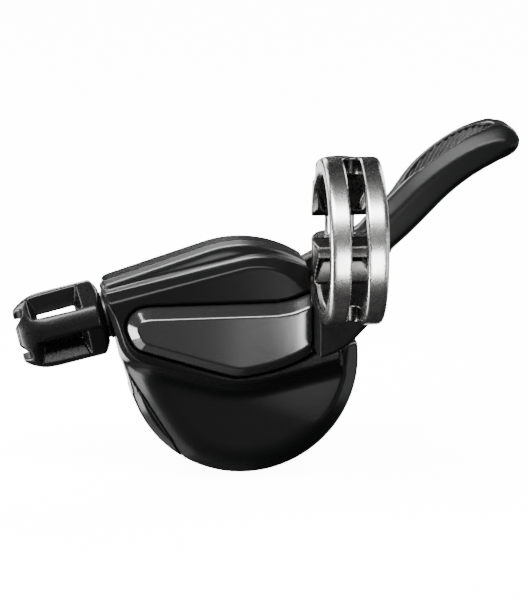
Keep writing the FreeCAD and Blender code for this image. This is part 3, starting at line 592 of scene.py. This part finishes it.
RIB_PITCH, RIB_SLANT, RIB_TALL = 1.4, 0.5, 0.52
PAD_SUNK = 0.62               # floor between the ribs, below the lever's top
PAD_GAP = 0.1


def pad_field(x, y, z):
    """Rubber insert, sunk in the rim, with slanting ribs that run out before its edge."""
    along, depth = below_top(x, z)
    plan = PAD_PLAN(along, y) + PAD_GAP
    place = (along - RIB_SLANT * (y - 27.0)) / RIB_PITCH
    wave = np.abs(np.mod(place, 1.0) - 0.5) * 2.0
    fade = np.clip(-(plan + 0.3) / 0.35, 0.0, 1.0)
    height = -PAD_SUNK + fade * RIB_TALL * np.clip(1.8 * wave - 0.4, 0.0, 1.0)
    body = np.maximum(-depth - height, depth - PAD_WELL + 0.02)
    return both(body * 0.7, plan, 0.15)


# ---- barrel adjuster ----
BARREL_START, BARREL_END, BARREL_R = 0.9, 15.8, 6.55
BARREL_FOOT_R = 4.7
DOME_AT = 10.0
FLAT_AT = 5.6
CAGE_R, CAGE = 3.0, (4.9, 11.9)  # hollow behind the windows: radius, start and end
WINDOW_FLOOR = 2.83           # distance from the axis where the window's sizes below hold
WINDOW_HALF = 0.97
WINDOW = (5.45, 11.9)
BLIND_FLOOR = 4.1             # floor of the one window that isn't open
NOTCH_R, NOTCH_FLOOR = 1.5, 1.9
TUBE_BORE_R, INNER_BORE_R, SOCKET_R = 1.72, 2.6, 3.0
SOCKET_AT = 13.6
RIB_TURN = math.radians(14.0)


def barrel_field(x, y, z):
    """Made along local +X, with its windows between four broad ribs."""
    r = np.hypot(y, z)
    dome = np.hypot(np.maximum(x - DOME_AT, 0.0) * 0.84, r) - BARREL_R
    cone = (BARREL_START - x) * 0.84 + (r - BARREL_FOOT_R) * 0.54
    body = both(both(r - BARREL_R, dome, 0.5), cone, 0.3)
    body = both(body, np.maximum(x - BARREL_END, BARREL_START - x), 0.35)
    for k in range(4):
        turn = math.radians(45.0 + 90.0 * k) + RIB_TURN
        out = -y * math.sin(turn) + z * math.cos(turn)
        side = y * math.cos(turn) + z * math.sin(turn)
        body = both(body, out - FLAT_AT, 0.25)
        rise = out - WINDOW_FLOOR
        half = WINDOW_HALF + 0.70 * rise - 0.03 * np.maximum(x - 5.0, 0.0)
        start, end = WINDOW[0] - 0.38 * rise, WINDOW[1] + 0.46 * rise
        window = both((np.abs(side) - half) * 0.82, np.maximum(start - x, x - end) * 0.92, 0.4)
        window = np.maximum(window, 1.8 - out)
        if k == 3:
            window = np.maximum(window, BLIND_FLOOR - out)
        body = cut(body, window, 0.25)
        notch = np.hypot(x - BARREL_END, side) - NOTCH_R
        body = cut(body, np.maximum(notch, NOTCH_FLOOR - out), 0.25)
    hollow = np.maximum(r - CAGE_R, np.maximum(CAGE[0] - x, x - CAGE[1]))
    radius = np.where(x > SOCKET_AT, SOCKET_R, np.where(x > CAGE[1] - 0.1, INNER_BORE_R, TUBE_BORE_R))
    return cut(cut(body, hollow, 0.2), r - radius, 0.2)


def to_nose(verts):
    """Turns points made along local +X onto the cable axis."""
    turn = math.pi - TILT
    c, s = math.cos(turn), math.sin(turn)
    x, y, z = verts[:, 0], verts[:, 1], verts[:, 2]
    moved = np.stack([x * c + z * s, y, -x * s + z * c], 1)
    return moved + np.array(NOSE)


# ---- materials ----
RELIEF = 0.0002               # depth of the grain, in metres


def noise(nodes, links, place, scale, detail):
    texture = nodes.new("ShaderNodeTexNoise")
    texture.inputs["Scale"].default_value = scale
    texture.inputs["Detail"].default_value = detail
    links.new(place.outputs["Object"], texture.inputs["Vector"])
    return texture.outputs["Fac"]


def node_material(name, base, rough, metallic, specular, grain, bump, tone, spread):
    """Satin surface with a fine grain and slow changes of tone."""
    material = bpy.data.materials.new(name)
    material.use_nodes = True
    nodes, links = material.node_tree.nodes, material.node_tree.links
    shader = nodes["Principled BSDF"]
    shader.inputs["Metallic"].default_value = metallic
    shader.inputs["Specular IOR Level"].default_value = specular
    place = nodes.new("ShaderNodeTexCoord")
    slow = noise(nodes, links, place, 60.0, 4.0)
    fine = noise(nodes, links, place, grain, 3.0)
    colour = nodes.new("ShaderNodeMix")
    colour.data_type = "RGBA"
    colour.inputs["A"].default_value = (*[c * (1.0 - tone) for c in base], 1.0)
    colour.inputs["B"].default_value = (*[min(1.0, c * (1.0 + tone)) for c in base], 1.0)
    links.new(slow, colour.inputs["Factor"])
    links.new(colour.outputs["Result"], shader.inputs["Base Color"])
    levels = nodes.new("ShaderNodeMapRange")
    levels.inputs["To Min"].default_value = rough - spread
    levels.inputs["To Max"].default_value = rough + spread
    links.new(fine, levels.inputs["Value"])
    links.new(levels.outputs["Result"], shader.inputs["Roughness"])
    relief = nodes.new("ShaderNodeBump")
    relief.inputs["Strength"].default_value = bump
    relief.inputs["Distance"].default_value = RELIEF
    links.new(fine, relief.inputs["Height"])
    links.new(relief.outputs["Normal"], shader.inputs["Normal"])
    return material


# Painted highlight tone for the front of the ring and painted shade tone for its bore and jaws: two colours
# that stand in for light and shade on one metal.
PAINTED_HIGHLIGHT_TONE = (0.46, 0.455, 0.45)
PAINTED_SHADE_TONE = (0.062, 0.061, 0.060)
HIGHLIGHT_FROM_R = (12.6, 13.5)  # the painted highlight grows between these distances from the bar's axis
HIGHLIGHT_FROM_Y = (-3.0, -10.5)  # and between these depths


def band_material():
    """Metal of the clamp with painted light: a painted highlight, a lighter colour, on the front of the
    ring, and painted shade, near black, in its bore and on its jaws.
    """
    material = node_material("band", PAINTED_HIGHLIGHT_TONE, 0.27, 1.0, 0.5, 900, 0.004, 0.03, 0.03)
    nodes, links = material.node_tree.nodes, material.node_tree.links
    shader = nodes["Principled BSDF"]
    # The colour from node_material, here the painted highlight tone.
    bright = shader.inputs["Base Color"].links[0].from_socket
    place = nodes.new("ShaderNodeTexCoord")
    split = nodes.new("ShaderNodeSeparateXYZ")
    links.new(place.outputs["Object"], split.inputs["Vector"])
    flat = nodes.new("ShaderNodeCombineXYZ")
    links.new(split.outputs["Y"], flat.inputs["Y"])
    links.new(split.outputs["Z"], flat.inputs["Z"])
    radius = nodes.new("ShaderNodeVectorMath")
    radius.operation = "LENGTH"
    links.new(flat.outputs["Vector"], radius.inputs["Vector"])
    share = nodes.new("ShaderNodeMath")
    share.operation = "MULTIPLY"
    for k, (value, (low, high)) in enumerate(
        ((radius.outputs["Value"], HIGHLIGHT_FROM_R), (split.outputs["Y"], HIGHLIGHT_FROM_Y))
    ):
        part = nodes.new("ShaderNodeMapRange")
        part.inputs["From Min"].default_value = low * MM
        part.inputs["From Max"].default_value = high * MM
        links.new(value, part.inputs["Value"])
        links.new(part.outputs["Result"], share.inputs[k])
    # Painted shade where the share is 0, painted highlight where it is 1.
    colour = nodes.new("ShaderNodeMix")
    colour.data_type = "RGBA"
    colour.inputs["A"].default_value = (*PAINTED_SHADE_TONE, 1.0)
    links.new(share.outputs["Value"], colour.inputs["Factor"])
    links.new(bright, colour.inputs["B"])
    links.new(colour.outputs["Result"], shader.inputs["Base Color"])
    return material


BLACK = (0.0040, 0.0040, 0.0041)
# name, colour, roughness, metallic, specular, scale of the grain, its bump, change of tone, of roughness
LOOKS = (
    ("bolt", (0.36, 0.36, 0.37), 0.22, 1.0, 0.5, 1500, 0.02, 0.05, 0.03),
    ("bracket_metal", BLACK, 0.42, 0.0, 0.03, 1400, 0.02, 0.12, 0.06),
    ("cover_plastic", BLACK, 0.28, 0.0, 0.075, 2200, 0.004, 0.12, 0.01),
    ("case_plastic", BLACK, 0.19, 0.0, 0.09, 1600, 0.01, 0.12, 0.02),
    ("plate_metal", (0.010, 0.010, 0.010), 0.17, 0.0, 0.75, 1800, 0.002, 0.12, 0.02),
    ("steel", (0.46, 0.46, 0.47), 0.28, 1.0, 0.5, 1200, 0.04, 0.12, 0.06),
    ("spring_steel", (0.34, 0.34, 0.36), 0.30, 1.0, 0.5, 1200, 0.03, 0.12, 0.06),
    ("drum_plastic", (0.42, 0.42, 0.40), 0.45, 0.0, 0.5, 900, 0.08, 0.12, 0.06),
    ("lever_metal", BLACK, 0.32, 0.0, 0.12, 1500, 0.03, 0.12, 0.03),
    ("pad_rubber", (0.004, 0.004, 0.004), 0.50, 0.0, 0.09, 1300, 0.05, 0.12, 0.06),
    ("adjuster_metal", (0.003, 0.003, 0.003), 0.28, 0.0, 0.24, 1700, 0.004, 0.12, 0.06),
    ("tube_metal", (0.02, 0.02, 0.02), 0.34, 0.0, 0.4, 1200, 0.04, 0.12, 0.06),
    ("plug_rubber", (0.006, 0.006, 0.006), 0.62, 0.0, 0.2, 1000, 0.2, 0.12, 0.06),
)


def make_materials():
    found = {"band": band_material()}
    for look in LOOKS:
        found[look[0]] = node_material(*look)
    return found


# ---- pieces ----
ORIGIN = (0.0, 0.0, 0.0)
# name, field, low and high corners, step, body, node, place of its frame, material
PIECES = (
    ("cover_shell", cover_field, (-43, -2, -42), (3, 11.5, 0.5), 0.25,
     "shifter_body", "front_cover", BODY_AT, "cover_plastic"),
    ("blank_plate", plate_field, (-39, -4, -24), (-5, 1.5, -7), 0.16,
     "shifter_body", "name_plate", BODY_AT, "plate_metal"),
    ("case_shell", case_field, (-43, 4.2, -42), (3.5, 17.5, 0.5), 0.3,
     "shifter_body", "rear_case", BODY_AT, "case_plastic"),
    ("band_forging", band_field, (-5.6, -14.6, -22.4), (5.6, 20.2, 14.6), 0.22,
     "shifter_body", "clamp_band", ORIGIN, "band"),
    ("band_foot", foot_field, (-5.6, 0.2, -20.8), (4.6, 12.5, -9.4), 0.2,
     "shifter_body", "clamp_band", ORIGIN, "bracket_metal"),
    ("lever_forging", lever_field, (-28.5, 19.8, -32), (33.2, 33.8, 16), 0.28,
     "lever", "thumb_lever", BODY_AT, "lever_metal"),
    ("lever_pad", pad_field, (6, 21, -0.5), (31, 32.2, 15.4), 0.13,
     "lever", "thumb_pad", BODY_AT, "pad_rubber"),
)


def field_pieces(materials):
    for name, field, low, high, step, body, node, at, material in PIECES:
        piece = fit_piece(name, field, low, high, step, body, node, at)
        piece.data.materials.append(materials[material])


def adjuster_pieces(materials):
    verts, faces = surface(barrel_field, (0.4, -7.0, -7.0), (16.3, 7.0, 7.0), 0.15)
    barrel = mesh_piece("barrel_cage", to_nose(verts), faces, BODY_AT)
    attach(barrel, "adjuster")
    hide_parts("adjuster_barrel")
    barrel.data.materials.append(materials["adjuster_metal"])


# Nodes given a darker material than the rest of their slot.
DARKER_NODES = {"click_ring": "tube_metal", "nose_insert": "bracket_metal"}


def dress_cad_nodes(materials):
    """Gives every CAD node that stays in view the material of its slot."""
    slots = {s["node"]: s["material_slot"] for s in frame["record"]["subparts"]}
    for name, node in frame["nodes"].items():
        node.data.materials.clear()
        node.data.materials.append(materials[DARKER_NODES.get(name, slots[name])])


# ---- stage ----
VIEW_AZIMUTH = math.radians(6.5)
VIEW_ELEVATION = math.radians(12.0)
FRAME_WIDE = 88.5906          # width of the view at the object, in millimetres
BAR_ASIDE, BAR_UP = 14.3792, 9.8154  # the clamp's centre, from the middle of the view
AIM_BACK = 14.0               # the view is sized for this depth behind the bar
DISTANCE = 1500.0
SENSOR = 36.0


def view_axes():
    right = Vector((math.cos(VIEW_AZIMUTH), -math.sin(VIEW_AZIMUTH), 0.0))
    back = Vector(
        (
            -math.sin(VIEW_AZIMUTH) * math.cos(VIEW_ELEVATION),
            -math.cos(VIEW_AZIMUTH) * math.cos(VIEW_ELEVATION),
            math.sin(VIEW_ELEVATION),
        )
    )
    return right, back.cross(right), back


def make_camera():
    right, up, back = view_axes()
    aim = right * -BAR_ASIDE + up * -BAR_UP - back * AIM_BACK
    data = bpy.data.cameras.new("camera")
    camera = bpy.data.objects.new("camera", data)
    bpy.context.scene.collection.objects.link(camera)
    turn = Matrix((right, up, back)).transposed().to_4x4()
    camera.matrix_world = Matrix.Translation((aim + back * DISTANCE) * MM) @ turn
    data.sensor_fit = "HORIZONTAL"
    data.sensor_width = SENSOR
    data.lens = SENSOR * DISTANCE / FRAME_WIDE
    data.clip_end = 10.0
    bpy.context.scene.camera = camera


# name, azimuth from the front towards +X, elevation, width, height (degrees), brightness
LIGHTS = (
    ("front_top", 2.0, 49.0, 34.0, 17.0, 22.0),
    ("front_soft", 6.0, -14.0, 44.0, 32.0, 0.3),
    ("right_strip", 52.0, -8.0, 8.0, 50.0, 8.0),
    ("right_card", 101.0, -14.0, 26.0, 36.0, 2.5),
    ("left_card", -92.0, -18.0, 24.0, 44.0, 36.0),
    ("left_low", -102.0, -56.0, 36.0, 26.0, 3.0),
    ("left_high", -38.0, 54.0, 38.0, 28.0, 26.0),
    ("back_left", -136.0, 30.0, 24.0, 36.0, 12.0),
    ("back_right", 136.0, 30.0, 24.0, 36.0, 12.0),
    ("back_soft", 176.0, -16.0, 50.0, 24.0, 5.0),
)
# name, centre and the point it faces (millimetres), width, height (millimetres), brightness
CARDS = (
    ("ring_low", (7.4, -60.0, -20.0), (7.4, 0.0, -20.0), 12.0, 32.0, 26.0),
    ("plate_glow", (-8.8, -60.0, -31.0), (-8.8, 0.0, -31.0), 4.5, 34.0, 1.6),
    ("roof_card", (-38.0, 150.0, 70.0), (-38.0, 0.0, 70.0), 78.0, 42.0, 23.0),
    ("under_card", (-28.0, 25.0, -150.0), (-28.0, 25.0, 0.0), 62.0, 110.0, 0.25),
)
SKY_BRIGHT, GROUND_BRIGHT = 0.10, 0.03
HORIZON = (-0.12, 0.06)       # heights, as sines, between which ground turns to sky
REACH = 0.8                   # distance of the softboxes, in metres
LIT_POINT = (-6.0, 12.0, -12.0)  # point that they face, in millimetres
STAGE_HALF, FLOOR_GAP = 4.0, 0.0004  # half width of the studio, and room under the object


def lamp(name, centre, target, wide, tall, bright):
    """Rectangular lamp at a point, facing another one."""
    data = bpy.data.lights.new(name, "AREA")
    data.shape = "RECTANGLE"
    data.size = wide
    data.size_y = tall
    data.energy = bright * math.pi * wide * tall
    card = bpy.data.objects.new(name, data)
    bpy.context.scene.collection.objects.link(card)
    card.location = centre
    card.rotation_euler = (target - centre).to_track_quat("-Z", "Y").to_euler()
    card.visible_camera = False


def softbox(name, azimuth, elevation, wide, tall, bright):
    """Far lamp facing the object, sized by the angle that it fills."""
    az, el = math.radians(azimuth), math.radians(elevation)
    middle = Vector(LIT_POINT) * MM
    out = Vector((math.sin(az) * math.cos(el), -math.cos(az) * math.cos(el), math.sin(el)))
    across = 2 * REACH * math.tan(math.radians(wide) / 2)
    upright = 2 * REACH * math.tan(math.radians(tall) / 2)
    lamp(name, middle + out * REACH, middle, across, upright, bright)


def make_sky():
    """Dim studio: a little light from above, less from below."""
    world = bpy.data.worlds.new("studio")
    bpy.context.scene.world = world
    world.use_nodes = True
    nodes, links = world.node_tree.nodes, world.node_tree.links
    sky = nodes["Background"]
    sky.inputs["Color"].default_value = (1.0, 1.0, 1.0, 1.0)
    place = nodes.new("ShaderNodeTexCoord")
    split = nodes.new("ShaderNodeSeparateXYZ")
    links.new(place.outputs["Generated"], split.inputs["Vector"])
    level = nodes.new("ShaderNodeMapRange")
    level.interpolation_type = "SMOOTHSTEP"
    level.inputs["From Min"].default_value = HORIZON[0]
    level.inputs["From Max"].default_value = HORIZON[1]
    level.inputs["To Min"].default_value = GROUND_BRIGHT
    level.inputs["To Max"].default_value = SKY_BRIGHT
    links.new(split.outputs["Z"], level.inputs["Value"])
    links.new(level.outputs["Result"], sky.inputs["Strength"])


def stage_material(name, glow, paint):
    material = bpy.data.materials.new(name)
    material.use_nodes = True
    shader = material.node_tree.nodes["Principled BSDF"]
    shader.inputs["Base Color"].default_value = (paint, paint, paint, 1.0)
    shader.inputs["Roughness"].default_value = 0.9
    shader.inputs["Specular IOR Level"].default_value = 0.0
    shader.inputs["Emission Color"].default_value = (1.0, 1.0, 1.0, 1.0)
    shader.inputs["Emission Strength"].default_value = glow
    return material


def stage_piece(name, verts, faces, material):
    """Part of the white studio, which the object doesn't mirror."""
    mesh = bpy.data.meshes.new(name)
    mesh.from_pydata(verts, [], faces)
    mesh.materials.append(material)
    piece = bpy.data.objects.new(name, mesh)
    bpy.context.scene.collection.objects.link(piece)
    piece.visible_diffuse = False
    piece.visible_glossy = False
    piece.visible_shadow = False


def make_stage():
    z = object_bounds()[0][2] - FLOOR_GAP
    half = STAGE_HALF
    corners = ((-half, -half), (half, -half), (half, half), (-half, half))
    floor = [(x, y, z) for x, y in corners]
    stage_piece("floor", floor, [(0, 1, 2, 3)], stage_material("floor", 12.0, 0.9))
    tent = floor + [(x, y, z + half) for x, y in corners]
    walls = [(0, 1, 5, 4), (1, 2, 6, 5), (2, 3, 7, 6), (3, 0, 4, 7), (4, 5, 6, 7)]
    stage_piece("backdrop", tent, walls, stage_material("backdrop", 16.0, 0.0))
    make_sky()
    for light in LIGHTS:
        softbox(*light)
    for name, centre, target, wide, tall, bright in CARDS:
        lamp(name, Vector(centre) * MM, Vector(target) * MM, wide * MM, tall * MM, bright)


materials = make_materials()
field_pieces(materials)
adjuster_pieces(materials)
dress_cad_nodes(materials)
make_camera()
make_stage()
